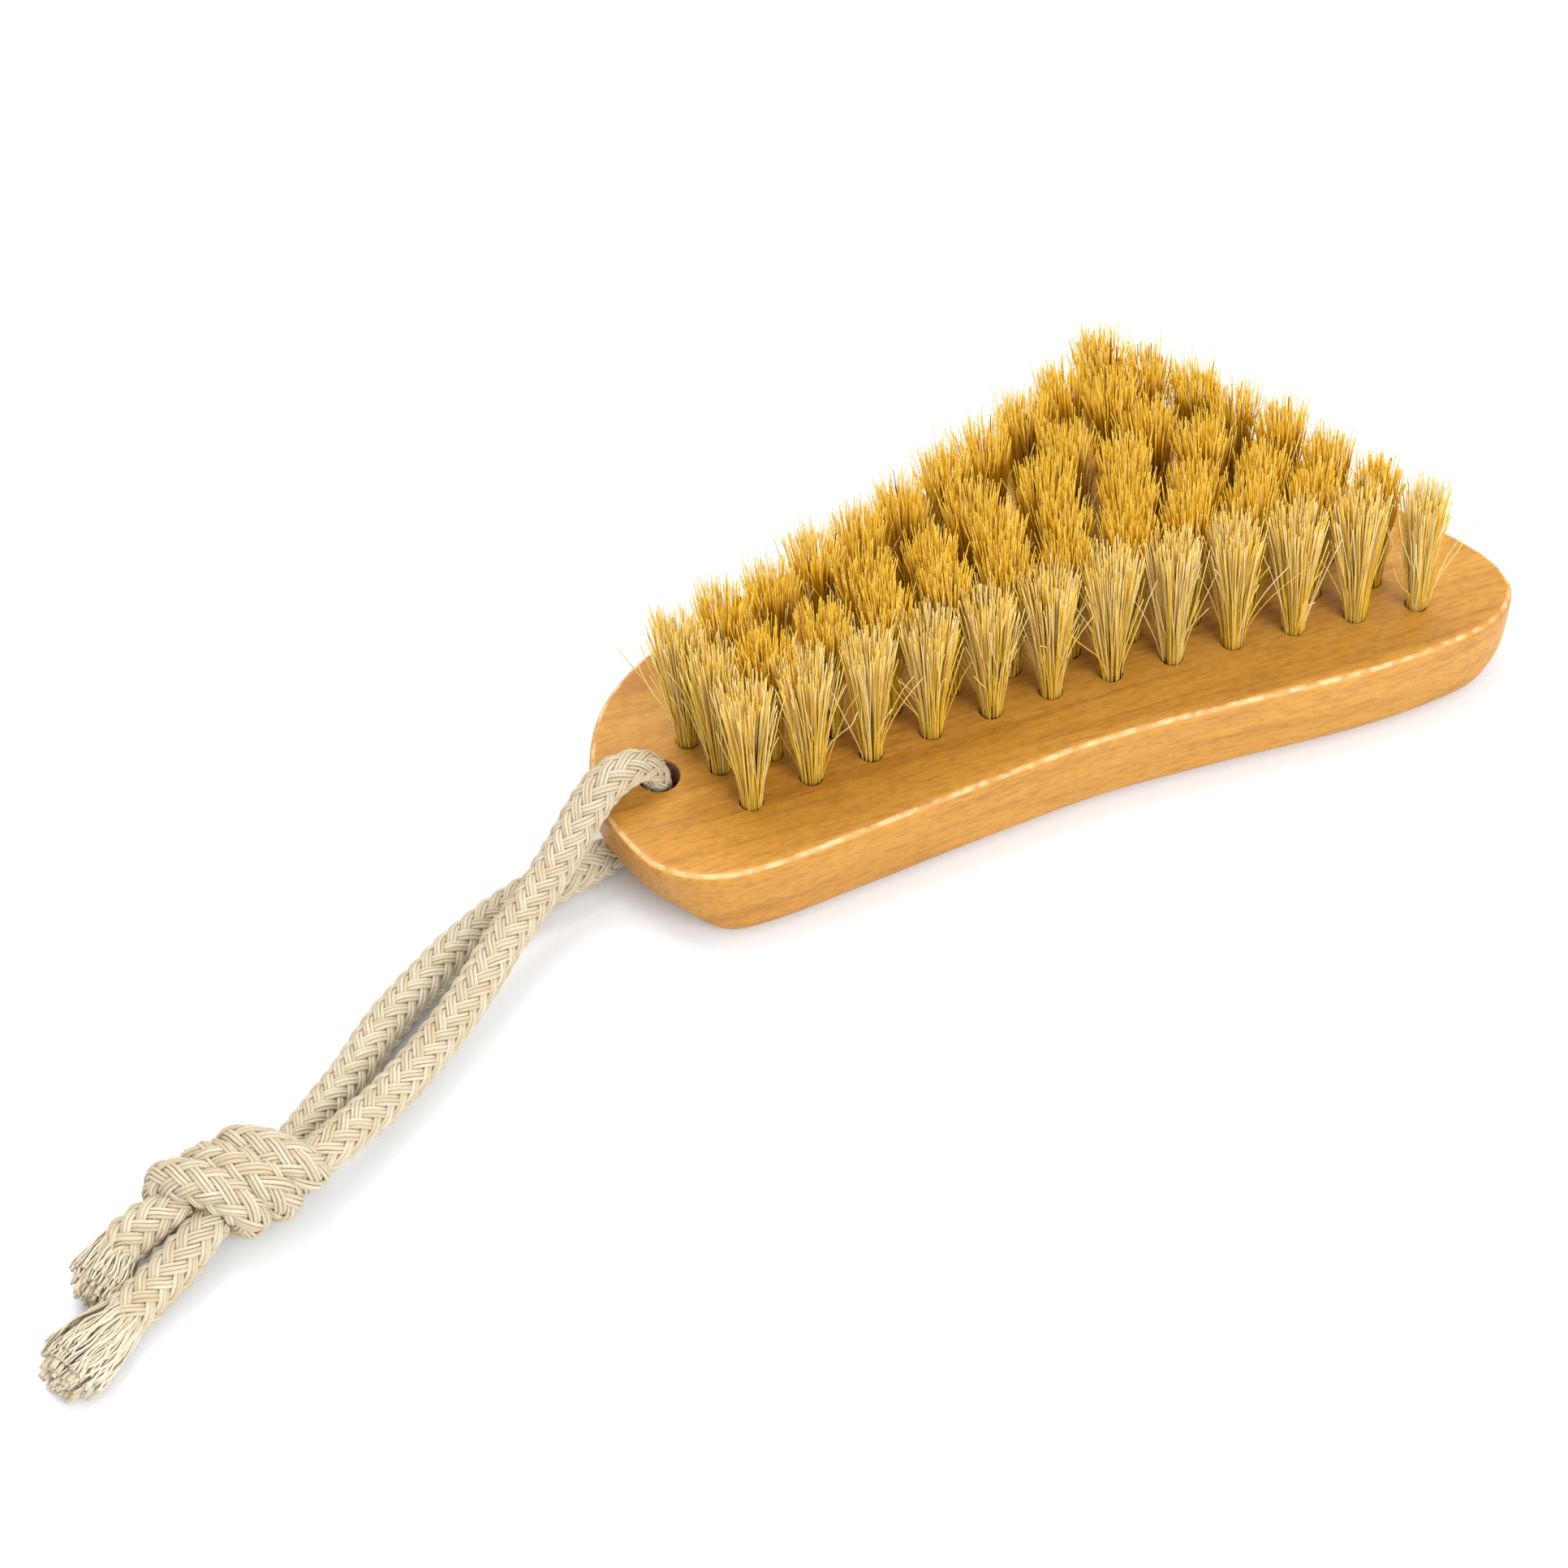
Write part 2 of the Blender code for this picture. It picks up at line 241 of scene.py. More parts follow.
def mix_colour(tree, factor, first, second, mode="MIX"):
    node = tree.nodes.new("ShaderNodeMix")
    node.data_type = "RGBA"
    node.blend_type = mode
    for socket, value in ((node.inputs["Factor"], factor), (node.inputs[6], first),
                          (node.inputs[7], second)):
        if isinstance(value, (int, float)):
            socket.default_value = value
        elif isinstance(value, tuple):
            socket.default_value = (*value, 1.0)
        else:
            tree.links.new(value, socket)
    return node.outputs[2]


def scaled_noise(tree, coordinates, scale, noise_scale, detail=4.0, distortion=0.0):
    mapping = tree.nodes.new("ShaderNodeMapping")
    mapping.inputs["Scale"].default_value = scale
    tree.links.new(coordinates, mapping.inputs["Vector"])
    noise = add(tree, "ShaderNodeTexNoise", Scale=noise_scale, Detail=detail,
                Distortion=distortion)
    tree.links.new(mapping.outputs["Vector"], noise.inputs["Vector"])
    return noise.outputs["Fac"]


def wood_material():
    material, tree, shader = new_material("varnished_wood")
    place_node = tree.nodes.new("ShaderNodeTexCoord")
    where = place_node.outputs["Object"]
    broad = scaled_noise(tree, where, (9.0, 55.0, 55.0), 1.6, 3.0, 0.5)
    streak = scaled_noise(tree, where, (14.0, 520.0, 520.0), 1.0, 6.0, 0.3)
    fibre = scaled_noise(tree, where, (190.0, 2600.0, 2600.0), 1.0, 3.0)
    fleck = scaled_noise(tree, where, (620.0, 1500.0, 1500.0), 1.0, 2.0)
    base = colour_ramp(tree, broad, ((0.25, (0.38, 0.163, 0.016)), (0.5, (0.465, 0.217, 0.027)),
                                     (0.75, (0.53, 0.268, 0.046))))
    lines = colour_ramp(tree, streak, ((0.30, (0.72, 0.66, 0.56)), (0.48, (0.97, 0.96, 0.94)),
                                       (0.70, (1.0, 1.0, 1.0))))
    pores = colour_ramp(tree, fibre, ((0.30, (0.80, 0.74, 0.66)), (0.50, (1.0, 1.0, 1.0))))
    flecks = colour_ramp(tree, fleck, ((0.36, (0.86, 0.82, 0.76)), (0.55, (1.0, 1.0, 1.0))))
    colour = mix_colour(tree, 0.75, base, lines, "MULTIPLY")
    colour = mix_colour(tree, 0.8, colour, pores, "MULTIPLY")
    colour = mix_colour(tree, 0.9, colour, flecks, "MULTIPLY")
    wear_and_highlight = tree.nodes.new("ShaderNodeAttribute")
    wear_and_highlight.attribute_name = "edge_wear_and_painted_highlight"
    patchy_wear_and_highlight = tree.nodes.new("ShaderNodeMath")
    patchy_wear_and_highlight.operation = "MULTIPLY"
    tree.links.new(wear_and_highlight.outputs["Fac"], patchy_wear_and_highlight.inputs[0])
    tree.links.new(colour_ramp(tree, scaled_noise(tree, where, (520.0,) * 3, 1.0, 4.0),
                               ((0.40, (0.1,) * 3), (0.60, (0.75,) * 3))), patchy_wear_and_highlight.inputs[1])
    # Pale patchy band along the top edge: partly wear, partly painted highlight on the rounded edge.
    colour = mix_colour(tree, patchy_wear_and_highlight.outputs[0], colour, (0.76, 0.53, 0.27))
    tree.links.new(colour, shader.inputs["Base Color"])
    gloss = colour_ramp(tree, streak, ((0.2, (0.42,) * 3), (0.8, (0.56,) * 3)))
    tree.links.new(gloss, shader.inputs["Roughness"])
    shader.inputs["Coat Weight"].default_value = 0.07
    shader.inputs["Coat Roughness"].default_value = 0.3
    shader.inputs["Specular IOR Level"].default_value = 0.36
    bump = add(tree, "ShaderNodeBump", Strength=0.28, Distance=0.00012)
    tree.links.new(fibre, bump.inputs["Height"])
    tree.links.new(bump.outputs["Normal"], shader.inputs["Normal"])
    return material


def hole_wood_material():
    """Darker wood with a ring pattern inside the drilled holes."""
    material, tree, shader = new_material("bored_wood")
    place_node = tree.nodes.new("ShaderNodeTexCoord")
    rings = scaled_noise(tree, place_node.outputs["Object"], (900.0, 900.0, 2600.0), 1.0, 3.0)
    colour = colour_ramp(tree, rings, ((0.3, (0.09, 0.035, 0.012)), (0.7, (0.24, 0.11, 0.04))))
    tree.links.new(colour, shader.inputs["Base Color"])
    shader.inputs["Roughness"].default_value = 0.85
    bump = add(tree, "ShaderNodeBump", Strength=0.5, Distance=0.0001)
    tree.links.new(rings, bump.inputs["Height"])
    tree.links.new(bump.outputs["Normal"], shader.inputs["Normal"])
    return material


def fibre_material(name, ramp_stops, roughness, through, noise_scale):
    """Fibres coloured by their own tone and lightened towards the tip (on the bristles partly painted
    shade deep in the tuft), letting some light through.
    """
    material, tree, shader = new_material(name)
    tone = tree.nodes.new("ShaderNodeAttribute")
    tone.attribute_name = "tone"
    colour = colour_ramp(tree, tone.outputs["Fac"], ramp_stops)
    place_node = tree.nodes.new("ShaderNodeTexCoord")
    mottle = scaled_noise(tree, place_node.outputs["Object"], noise_scale, 1.0, 3.0)
    shade = colour_ramp(tree, mottle, ((0.3, (0.86, 0.82, 0.72)), (0.65, (1.0, 1.0, 1.0))))
    colour = mix_colour(tree, 0.5, colour, shade, "MULTIPLY")
    tree.links.new(colour, shader.inputs["Base Color"])
    shader.inputs["Roughness"].default_value = roughness
    bump = add(tree, "ShaderNodeBump", Strength=0.3, Distance=0.00004)
    tree.links.new(mottle, bump.inputs["Height"])
    tree.links.new(bump.outputs["Normal"], shader.inputs["Normal"])
    if through:
        glow = tree.nodes.new("ShaderNodeBsdfTranslucent")
        tree.links.new(colour, glow.inputs["Color"])
        blend = tree.nodes.new("ShaderNodeMixShader")
        blend.inputs["Fac"].default_value = through
        output = tree.nodes["Material Output"]
        tree.links.new(shader.outputs["BSDF"], blend.inputs[1])
        tree.links.new(glow.outputs["BSDF"], blend.inputs[2])
        tree.links.new(blend.outputs["Shader"], output.inputs["Surface"])
    return material


# ---------------------------------------------------------------- wooden block

def ramp(value, start, end):
    t = min(1.0, max(0.0, (value - start) / (end - start)))
    return t * t * (3.0 - 2.0 * t)


def back_edge(x):
    heel = ramp(x, HEEL_SWEEP["start"], HEEL_SWEEP["end"])
    toe = ramp(x, TOE_SWEEP["start"], TOE_SWEEP["end"])
    inset = BACK_EDGE_RADIUS
    inset += heel * (HEEL_SWEEP["length"] - BACK_EDGE_RADIUS)
    inset += toe * (TOE_SWEEP["length"] - BACK_EDGE_RADIUS)
    rise = BACK_EDGE_RADIUS
    rise += heel * (HEEL_SWEEP["rise"] - BACK_EDGE_RADIUS)
    rise += toe * (TOE_SWEEP["rise"] - BACK_EDGE_RADIUS)
    return inset, rise, 2.0 - heel


def block_rings():
    count = len(OUTLINE)
    outline = []
    for i in range(count):
        span = [OUTLINE[(i + k) % count] for k in (-1, 0, 1, 2)]
        outline += [spline_point(*span, s / OUTLINE_STEPS) for s in range(OUTLINE_STEPS)]
    normals = []
    for i in range(len(outline)):
        before, after = outline[i - 1], outline[(i + 1) % len(outline)]
        tangent = Vector((after[0] - before[0], after[1] - before[1])).normalized()
        normals.append((tangent.y, -tangent.x))
    rings = []
    for step in range(TOP_EDGE_STEPS + 1):
        angle = math.radians(90.0 * (1.0 - step / TOP_EDGE_STEPS))
        inset = TOP_EDGE_RADIUS * (1.0 - math.cos(angle))
        z = THICKNESS - TOP_EDGE_RADIUS * (1.0 - math.sin(angle))
        rings.append([place(p[0] - n[0] * inset, p[1] - n[1] * inset, z)
                      for p, n in zip(outline, normals)])
    for step in range(BACK_EDGE_STEPS + 1):
        angle = math.radians(90.0 * step / BACK_EDGE_STEPS)
        ring = []
        for p, n in zip(outline, normals):
            reach, rise, fullness = back_edge(p[0])
            inset = reach * (1.0 - max(0.0, math.cos(angle)) ** (2.0 / fullness))
            z = rise * (1.0 - math.sin(angle) ** (2.0 / fullness))
            ring.append(place(p[0] - n[0] * inset, p[1] - n[1] * inset, z))
        rings.append(ring)
    return rings


def tuft_positions():
    positions = []
    for count, first, last, bow in TUFT_ROWS:
        for i in range(count):
            t = i / max(1, count - 1)
            positions.append((first[0] + (last[0] - first[0]) * t,
                              first[1] + (last[1] - first[1]) * t + bow * 4.0 * t * (1.0 - t)))
    return positions


def tuft_frame(x, y):
    axis = Vector(((x - LEAN_CENTRE[0]) * LEAN_RATE[0], (y - LEAN_CENTRE[1]) * LEAN_RATE[1],
                   TUFT_HEIGHT))
    turn = axis.to_track_quat("Z", "Y").to_matrix().to_4x4()
    return Matrix.Translation(place(x, y, THICKNESS)) @ turn


def drill(shape, matrix, radius, flare, depth, sides):
    """A hole cutter with a softened mouth, its axis along the matrix's Z."""
    profile = ((radius, -depth), (radius, -flare), (radius + flare, flare), (radius + flare, 2.0))
    loops = []
    for r, z in profile:
        loops.append([shape.verts.new(matrix @ Vector((
            r * math.cos(2.0 * math.pi * k / sides) * MM,
            r * math.sin(2.0 * math.pi * k / sides) * MM, z * MM))) for k in range(sides)])
    for lower, upper in zip(loops, loops[1:]):
        for k in range(sides):
            m = (k + 1) % sides
            shape.faces.new((lower[k], lower[m], upper[m], upper[k]))
    shape.faces.new(list(reversed(loops[0])))
    shape.faces.new(loops[-1])


def make_block(positions, wood, bored):
    """The lofted block with its holes cut and its top edge marked for the wood material's pale band,
    partly wear and partly painted highlight.
    """
    rings = block_rings()
    shape = bmesh.new()
    loops = [[shape.verts.new(p) for p in ring] for ring in rings]
    count = len(rings[0])
    for upper, lower in zip(loops, loops[1:]):
        for i in range(count):
            j = (i + 1) % count
            shape.faces.new((upper[i], lower[i], lower[j], upper[j]))
    shape.faces.new(loops[0])
    shape.faces.new(list(reversed(loops[-1])))
    mesh = bpy.data.meshes.new("block")
    shape.to_mesh(mesh)
    shape.free()
    block = link("wooden_block_surface", mesh, wood)
    mesh.materials.append(bored)

    cutter_shape = bmesh.new()
    for x, y in positions:
        drill(cutter_shape, tuft_frame(x, y), TUFT_HOLE_RADIUS, TUFT_HOLE_FLARE,
              TUFT_HOLE_DEPTH, 20)
    drill(cutter_shape, Matrix.Translation(place(*CORD_HOLE_CENTRE, THICKNESS)),
          CORD_HOLE_RADIUS, CORD_HOLE_FLARE, THICKNESS + 5.0, 40)
    cutter_mesh = bpy.data.meshes.new("holes")
    cutter_shape.to_mesh(cutter_mesh)
    cutter_shape.free()
    cutter_mesh.materials.append(wood)
    cutter_mesh.materials.append(bored)
    for polygon in cutter_mesh.polygons:
        polygon.material_index = 1
    cutter = bpy.data.objects.new("hole_cutter", cutter_mesh)
    bpy.context.scene.collection.objects.link(cutter)
    boolean = block.modifiers.new("holes", "BOOLEAN")
    boolean.operation = "DIFFERENCE"
    boolean.solver = "EXACT"
    boolean.object = cutter
    bpy.context.view_layer.update()
    cut = bpy.data.meshes.new_from_object(
        block.evaluated_get(bpy.context.evaluated_depsgraph_get()))
    block.modifiers.clear()
    block.data = cut
    bpy.data.objects.remove(cutter)

    wear_and_highlight = cut.attributes.new("edge_wear_and_painted_highlight", "FLOAT", "POINT")
    # Marks the upper part of the top edge's rounding for the pale band of wear and painted highlight.
    for vertex in cut.vertices:
        below_top = THICKNESS * MM - vertex.co.z
        on_edge = 0.1 * TOP_EDGE_RADIUS * MM < below_top < 0.35 * TOP_EDGE_RADIUS * MM
        wear_and_highlight.data[vertex.index].value = 0.9 if on_edge else 0.0
    for polygon in cut.polygons:
        flat = polygon.normal.z > 0.99 or polygon.normal.z < -0.999
        polygon.use_smooth = not flat
    stand_for(block, "wooden_block")


# ---------------------------------------------------------------- bristles

def sweep(verts, faces, tones, points, radii, sides, tone, tip_tone):
    """A closed thin tube through the points, with a tone running from root to tip."""
    base = len(verts)
    last = len(points) - 1
    side = None
    for i, (point, radius) in enumerate(zip(points, radii)):
        along = points[min(last, i + 1)] - points[max(0, i - 1)]
        along.normalize()
        if side is None:
            side = along.orthogonal().normalized()
        else:
            side = (side - along * side.dot(along)).normalized()
        up = along.cross(side)
        for k in range(sides):
            angle = 2.0 * math.pi * k / sides
            verts.append(point + (side * math.cos(angle) + up * math.sin(angle)) * radius)
            tones.append(tone + (tip_tone - tone) * i / last)
    for i in range(last):
        for k in range(sides):
            m = (k + 1) % sides
            row, following = base + i * sides, base + (i + 1) * sides
            faces.append((row + k, row + m, following + m, following + k))
    faces.append(tuple(base + k for k in reversed(range(sides))))
    faces.append(tuple(base + last * sides + k for k in range(sides)))


def fibre_object(name, verts, faces, tones, material):
    mesh = bpy.data.meshes.new(name)
    mesh.from_pydata([tuple(v) for v in verts], [], faces)
    attribute = mesh.attributes.new("tone", "FLOAT", "POINT")
    attribute.data.foreach_set("value", tones)
    return link(name, mesh, material)


def disc_point():
    radius = math.sqrt(rng.random())
    angle = rng.uniform(0.0, 2.0 * math.pi)
    return radius * math.cos(angle), radius * math.sin(angle)


def make_tuft(number, x, y, material):
    turn = tuft_frame(x, y)
    # Painted light: front-row and heel tufts get a paler tone.
    painted_light = FRONT_PAINTED_LIGHT if y < FRONT_LIMIT or x < HEEL_LIMIT else 0.0
    verts, faces, tones = [], [], []
    fullness = rng.uniform(0.88, 1.14)
    twist = rng.uniform(-0.5, 0.5)
    trim = rng.uniform(0.0, TRIM_VARIATION)
    top = THICKNESS + TUFT_HEIGHT
    for _ in range(BRISTLES_PER_TUFT):
        u, v = disc_point()
        stray = rng.random() < STRAY_SHARE
        spread = SPREAD * fullness * (1.0 + (rng.uniform(0.4, 1.5) if stray else 0.0))
        wander = STRAY_WANDER if stray else WANDER
        spread_u = u * spread + rng.gauss(0.0, wander)
        spread_v = v * spread + rng.gauss(0.0, wander)
        height = TUFT_HEIGHT - trim + rng.gauss(0.0, TIP_RAGGEDNESS) - 0.3 * (u * u + v * v)
        if stray:
            height *= rng.uniform(0.6, 1.0)
        bow = 1.0 + rng.uniform(0.1, 0.7)
        wave = rng.gauss(0.0, STRAY_CURL if stray else CURL)
        thickness = BRISTLE_RADIUS * rng.uniform(0.75, 1.4)
        phase = rng.uniform(0.0, 6.3)
        points = []
        radii = []
        for i in range(BRISTLE_SEGMENTS + 1):
            t = i / BRISTLE_SEGMENTS
            z = -BRISTLE_ROOT_DEPTH + (height + BRISTLE_ROOT_DEPTH) * t
            rise = max(0.0, z) / height
            opening = rise ** bow
            swing = twist * rise
            curl_u = wave * rise * math.sin(4.5 * rise + phase)
            curl_v = wave * rise * math.cos(5.5 * rise + phase)
            px = BUNDLE_RADIUS * u + spread_u * opening - v * swing + curl_u
            py = BUNDLE_RADIUS * v + spread_v * opening + u * swing + curl_v
            if z < 0.0:
                px, py = BUNDLE_RADIUS * u * 0.95, BUNDLE_RADIUS * v * 0.95
            point = turn @ Vector((px * MM, py * MM, z * MM))
            point.z = min(point.z, (top + 0.9) * MM)
            points.append(point)
            radii.append(thickness * (1.0 - (1.0 - BRISTLE_TIP_SHARE) * rise) * MM)
        dark = rng.random() < DARK_SHARE
        tone = rng.uniform(0.22, 0.68) + (0.3 if stray else painted_light)
        # The tip is 0.2 paler than the root: partly painted shade, darker deep in the tuft.
        tip = tone + 0.2
        if dark:
            tone = tip = rng.uniform(0.0, 0.05)
        sweep(verts, faces, tones, points, radii, BRISTLE_SIDES, tone, tip)
    tuft = fibre_object(f"tuft_of_bristles_{number:02d}", verts, faces, tones, material)
    stand_for(tuft, f"bristle_tuft_{number:02d}")


# ---------------------------------------------------------------- cord

def route_frames(route, step):
    """Centre, side, up, radius share and distance at even steps of a smooth line."""
    points = []
    for i in range(len(route) - 1):
        span = [route[max(0, i - 1)], route[i], route[i + 1], route[min(len(route) - 1, i + 2)]]
        pieces = max(1, round(math.dist(route[i][:3], route[i + 1][:3]) / step))
        points += [spline_point(*span, k / pieces) for k in range(pieces)]
    points.append(list(route[-1]))
    centres = [place(*p[:3]) for p in points]
    frames = []
    side = None
    travelled = 0.0
    for i, centre in enumerate(centres):
        along = centres[min(len(centres) - 1, i + 1)] - centres[max(0, i - 1)]
        along.normalize()
        if side is None:
            side = along.orthogonal().normalized()
        else:
            side = (side - along * side.dot(along)).normalized()
        if i:
            travelled += (centre - centres[i - 1]).length / MM
        frames.append((centre, side.copy(), along.cross(side), points[i][3], travelled))
    return frames


def braid(verts, faces, tones, frames, fray=0.0, cut=0.0):
    """Interlaced yarn bundles round the line. fray loosens the braid over the last millimetres."""
    length = frames[-1][4]
    centre_radius = CORD_RADIUS - YARN_RADIUS - BRAID_WAVE
    for hand in (1, -1):
        for carrier in range(CARRIERS):
            for yarn in range(YARNS_PER_CARRIER):
                beside = (yarn - (YARNS_PER_CARRIER - 1) / 2.0) * YARN_GAP
                loose_angle = rng.gauss(0.0, 0.35)
                loose_radius = math.sqrt(rng.uniform(0.02, 1.35))
                end = length - (abs(rng.gauss(0.0, cut)) if cut else 0.0)
                tone = rng.uniform(0.25, 0.75)
                points, radii = [], []
                wound, before = 0.0, 0.0
                for centre, side, up, share, travelled in frames:
                    if travelled > end:
                        break
                    slack = ramp(travelled, length - fray, length - 0.55 * fray) if fray else 0.0
                    wound += (travelled - before) * (1.0 - 0.93 * slack)
                    before = travelled
                    turn = 2.0 * math.pi * wound / BRAID_PITCH
                    crossing = 16.0 * wound / BRAID_PITCH
                    angle = hand * turn + 2.0 * math.pi * carrier / CARRIERS
                    angle += 1.24 * beside / centre_radius + slack * loose_angle
                    phase = hand * crossing + 2.0 * carrier - 0.5
                    wave = hand * BRAID_WAVE * math.cos(math.pi * phase / 2.0) * (1.0 - slack)
                    crown = -0.10 * (beside / YARN_GAP) ** 2
                    radius = (centre_radius + wave + crown) * share
                    radius *= 1.0 + slack * (loose_radius - 1.0)
                    out = side * math.cos(angle) + up * math.sin(angle)
                    points.append(centre + out * radius * MM)
                    radii.append(YARN_RADIUS * share * MM)
                if len(points) > 2:
                    sweep(verts, faces, tones, points, radii, YARN_SIDES, tone, tone)


def core(verts, faces, tones, frames, stop):
    """Packed inner yarns seen only between the braided ones, given a dark tone as painted shade in
    the gaps.
    """
    chosen = [f for f in frames if f[4] <= stop]
    radii = [CORD_RADIUS * CORE_SHARE * f[3] * MM for f in chosen]
    sweep(verts, faces, tones, [f[0] for f in chosen], radii, 16, CORE_PAINTED_SHADE_TONE, CORE_PAINTED_SHADE_TONE)


def make_strand(name, route, node, material):
    frames = route_frames(route, BRAID_STEP)
    verts, faces, tones = [], [], []
    braid(verts, faces, tones, frames)
    core(verts, faces, tones, frames, frames[-1][4])
    strand = fibre_object(name, verts, faces, tones, material)
    stand_for(strand, node)
    return strand, frames


def loosened_fibres(verts, faces, tones, frames, fray, count):
    """Combed-out yarns filling the end of a tail, the middle ones longest."""
    length = frames[-1][4]
    for _ in range(count):
        u, v = disc_point()
        off_centre = math.hypot(u, v)
        end = length - 2.6 * off_centre ** 3 - abs(rng.gauss(0.0, 0.7))
        start = length - fray * rng.uniform(0.85, 1.05)
        # Painted light: loosened fibres get a paler tone to offset their self-shadowing.
        tone = rng.uniform(0.75, 1.0)
        phase = rng.uniform(0.0, 6.3)
        curl = rng.uniform(0.1, 0.7)
        points, radii = [], []
        for centre, side, up, share, travelled in frames[::2]:
            if not start <= travelled <= end:
                continue
            loose = (travelled - start) / fray
            reach = CORD_RADIUS * share * (0.72 + TAIL_BUSHINESS * math.sin(2.6 * loose))
            wave = curl * loose * math.sin(0.9 * travelled + phase)
            points.append(centre + (side * (u * reach + wave) + up * (v * reach + wave)) * MM)
            radii.append(LOOSE_FIBRE_RADIUS * MM)
        if len(points) > 2:
            for point in points:
                point.z = max(point.z, 0.2 * MM)
            sweep(verts, faces, tones, points, radii, BRISTLE_SIDES, tone, tone)


def make_tail(name, route, node, material, fray, cut, count):
    frames = route_frames(route, BRAID_STEP)
    verts, faces, tones = [], [], []
    braid(verts, faces, tones, frames, fray, cut)
    core(verts, faces, tones, frames, frames[-1][4] - 0.75 * fray)
    loosened_fibres(verts, faces, tones, frames, fray, count)
    tail = fibre_object(name, verts, faces, tones, material)
    stand_for(tail, node)
    return tail


def knot_route():
    """Coiled centreline of the knot's wraps, u along the knot away from the block and w up."""
    turn = Matrix.Translation(place(*KNOT_CENTRE)) @ Matrix.Rotation(KNOT_HEADING, 4, "Z")
    origin = place(0.0, 0.0)
    points = []
    for i in range(KNOT_STEPS + 1):
        t = i / KNOT_STEPS
        angle = math.radians(KNOT_START) + 2.0 * math.pi * KNOT_TURNS * t
        tucked = ramp(t, 0.0, 0.1) * ramp(t, 1.0, 0.9)
        reach = 0.25 + 0.75 * tucked
        u = KNOT_LENGTH * (t - 0.5) - KNOT_TILT * math.cos(angle)
        v = KNOT_WRAP_RADIUS[0] * math.cos(angle) * reach
        w = KNOT_WRAP_RADIUS[1] * math.sin(angle) * reach
        here = (turn @ Vector((u * MM, v * MM, w * MM)) - origin) / MM
        points.append((here.x, here.y, here.z, 0.86 + 0.16 * tucked))
    return points


def fill_knot(verts, faces, tones):
    """Cord hidden inside the wraps, which closes the gaps between them with a dark tone as painted
    shade.
    """
    along = Vector((math.cos(KNOT_HEADING), math.sin(KNOT_HEADING), 0.0))
    centre = place(*KNOT_CENTRE)
    points, radii = [], []
    for i in range(13):
        t = i / 6.0 - 1.0
        points.append(centre + along * 0.5 * KNOT_LENGTH * t * MM)
        radii.append(KNOT_FILL_RADIUS * math.sqrt(1.02 - t * t) * MM)
    # Painted shade: the fill is given a dark tone.
    sweep(verts, faces, tones, points, radii, 16, 0.1, 0.1)


def make_knot(material):
    verts, faces, tones = [], [], []
    frames = route_frames(knot_route(), BRAID_STEP)
    braid(verts, faces, tones, frames)
    core(verts, faces, tones, frames, frames[-1][4])
    fill_knot(verts, faces, tones)
    knot = fibre_object("overhand_knot", verts, faces, tones, material)
    stand_for(knot, "cord_knot")
    return knot


# ---------------------------------------------------------------- studio

def make_camera():
    direction = Vector((math.sin(CAMERA_AZIMUTH) * math.cos(CAMERA_ELEVATION),
                        -math.cos(CAMERA_AZIMUTH) * math.cos(CAMERA_ELEVATION),
                        math.sin(CAMERA_ELEVATION)))
    data = bpy.data.cameras.new("camera")
    data.lens = CAMERA_LENS_MM
    data.sensor_width = 36.0
    camera = bpy.data.objects.new("camera", data)
    bpy.context.scene.collection.objects.link(camera)
    camera.location = place(*CAMERA_TARGET) + direction * CAMERA_DISTANCE * MM
    camera.rotation_euler = (-direction).to_track_quat("-Z", "Y").to_euler()
    bpy.context.scene.camera = camera


def area_light(name, location, size, power):
    data = bpy.data.lights.new(name, "AREA")
    data.shape = "DISK"
    data.size = size
    data.energy = power
    light = bpy.data.objects.new(name, data)
    bpy.context.scene.collection.objects.link(light)
    light.location = location
    direction = Vector(LIGHT_TARGET) - Vector(location)
    light.rotation_euler = direction.to_track_quat("-Z", "Y").to_euler()


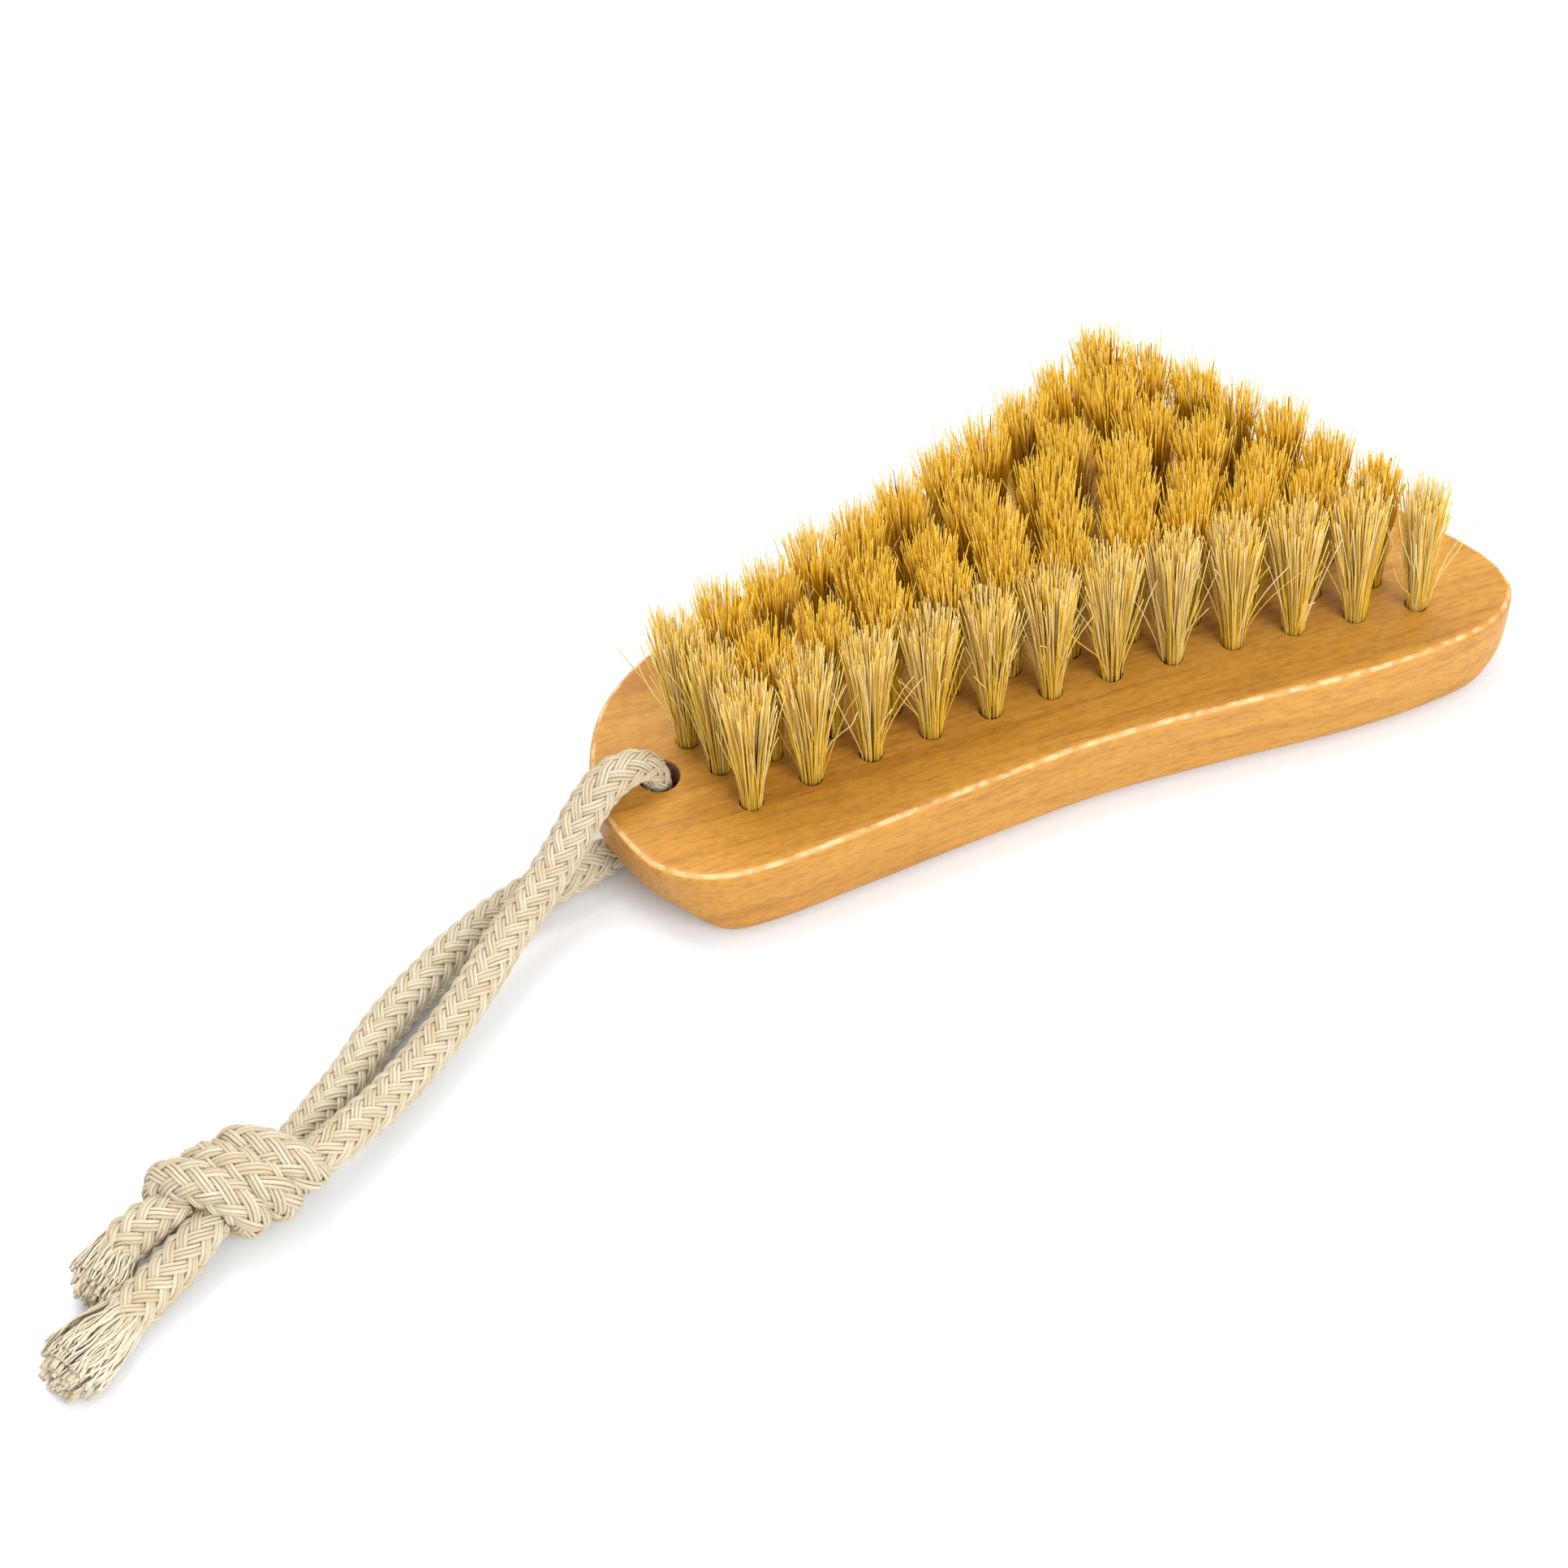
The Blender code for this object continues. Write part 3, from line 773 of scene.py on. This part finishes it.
def make_studio():
    material, tree, shader = new_material("paper_floor")
    shader.inputs["Base Color"].default_value = (*FLOOR_COLOUR, 1.0)
    shader.inputs["Roughness"].default_value = 0.95
    shader.inputs["Specular IOR Level"].default_value = 0.1
    mesh = bpy.data.meshes.new("floor")
    corners = [(x * FLOOR_HALF_SIZE, y * FLOOR_HALF_SIZE, -FLOOR_DROP)
               for x, y in ((-1, -1), (1, -1), (1, 1), (-1, 1))]
    mesh.from_pydata(corners, [], [(0, 1, 2, 3)])
    floor = link("floor", mesh, material)
    world = bpy.data.worlds.new("studio")
    bpy.context.scene.world = world
    world.use_nodes = True
    world.node_tree.nodes["Background"].inputs["Color"].default_value = (1.0, 1.0, 1.0, 1.0)
    world.node_tree.nodes["Background"].inputs["Strength"].default_value = SKY_STRENGTH
    bpy.context.scene.view_settings.view_transform = "Standard"
    area_light("key_light", **KEY_LIGHT)
    area_light("front_fill", **FRONT_FILL)


make_camera()
make_studio()

# The low stops of this ramp colour the core and the knot fill dark as painted shade.
cotton = fibre_material(
    "braided_cotton",
    ((0.0, (0.42, 0.28, 0.13)), (0.12, (0.56, 0.41, 0.23)), (0.3, (0.61, 0.51, 0.35)),
     (0.75, (0.70, 0.63, 0.49)), (1.0, (0.90, 0.82, 0.65))), 0.9, 0.25, (2600.0, 2600.0, 2600.0))
upper, upper_frames = make_strand("upper_cord_strand", UPPER_STRAND, "cord_upper_strand", cotton)
lower, lower_frames = make_strand("lower_cord_strand", LOWER_STRAND, "cord_lower_strand", cotton)
short_tail = make_tail("short_frayed_tail", SHORT_TAIL, "cord_short_tail", cotton,
                       **SHORT_TAIL_FRAY)
long_tail = make_tail("long_frayed_tail", LONG_TAIL, "cord_long_tail", cotton,
                      **LONG_TAIL_FRAY)
knot = make_knot(cotton)

tuft_places = tuft_positions()
make_block(tuft_places, wood_material(), hole_wood_material())
bristle = fibre_material(
    "natural_bristle",
    ((0.0, (0.02, 0.013, 0.008)), (0.10, (0.05, 0.03, 0.015)), (0.2, (0.92, 0.58, 0.008)),
     (0.6, (0.97, 0.72, 0.05)), (0.85, (0.99, 0.79, 0.22)), (1.0, (0.99, 0.87, 0.50))), 0.45, 0.5,
    (900.0, 900.0, 260.0))
for number, (x, y) in enumerate(tuft_places, start=1):
    make_tuft(number, x, y, bristle)
